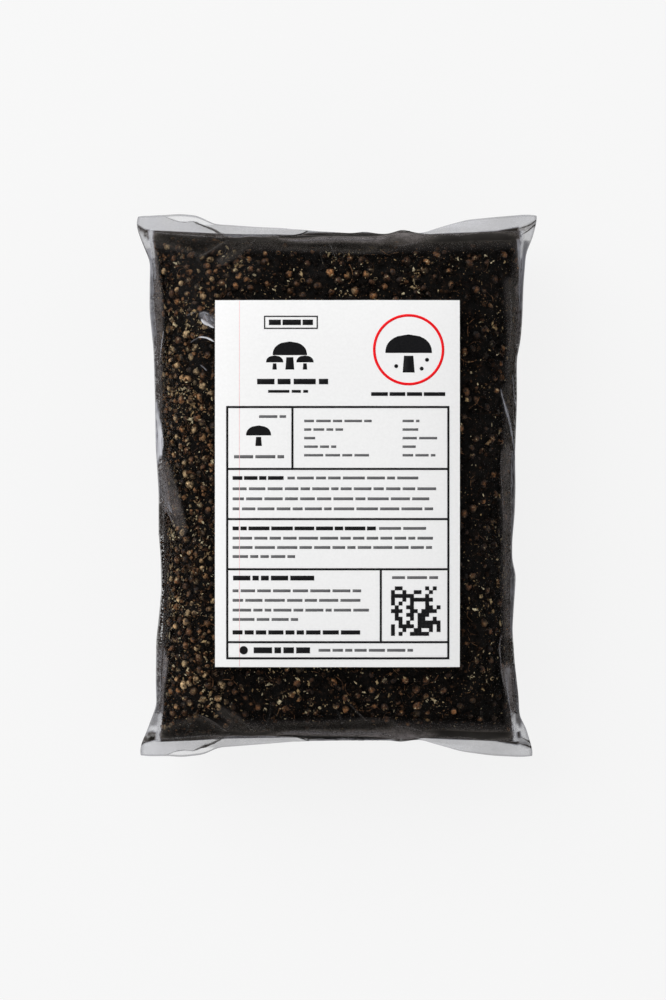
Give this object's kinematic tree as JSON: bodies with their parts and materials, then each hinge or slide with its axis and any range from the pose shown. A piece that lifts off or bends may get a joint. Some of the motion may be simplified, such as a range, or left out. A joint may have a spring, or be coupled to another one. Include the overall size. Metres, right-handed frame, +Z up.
{
  "type": "mushroom grow bag",
  "caption": "Sealed clear film bag packed with dark mushroom substrate of coir and grain, lying flat, with a large white front label and loose film corners.",
  "frame": {"origin": "on the surface the bag lies on, under the middle of the bag's box", "axes": "+Z up out of the label, +Y along the bag towards the top of the label, +X to the label's right"},
  "size_m": [0.1666, 0.2258, 0.0605],
  "materials": {
    "film": "clear soft polyethylene film, glossy",
    "substrate": "moist coir and grain, matte with damp spots",
    "label": "white paper sticker with dark print"
  },
  "bodies": {
    "root": {"bag_film_front": "film", "bag_film_back": "film", "substrate": "substrate", "label": "label"}
  },
  "joints": []
}
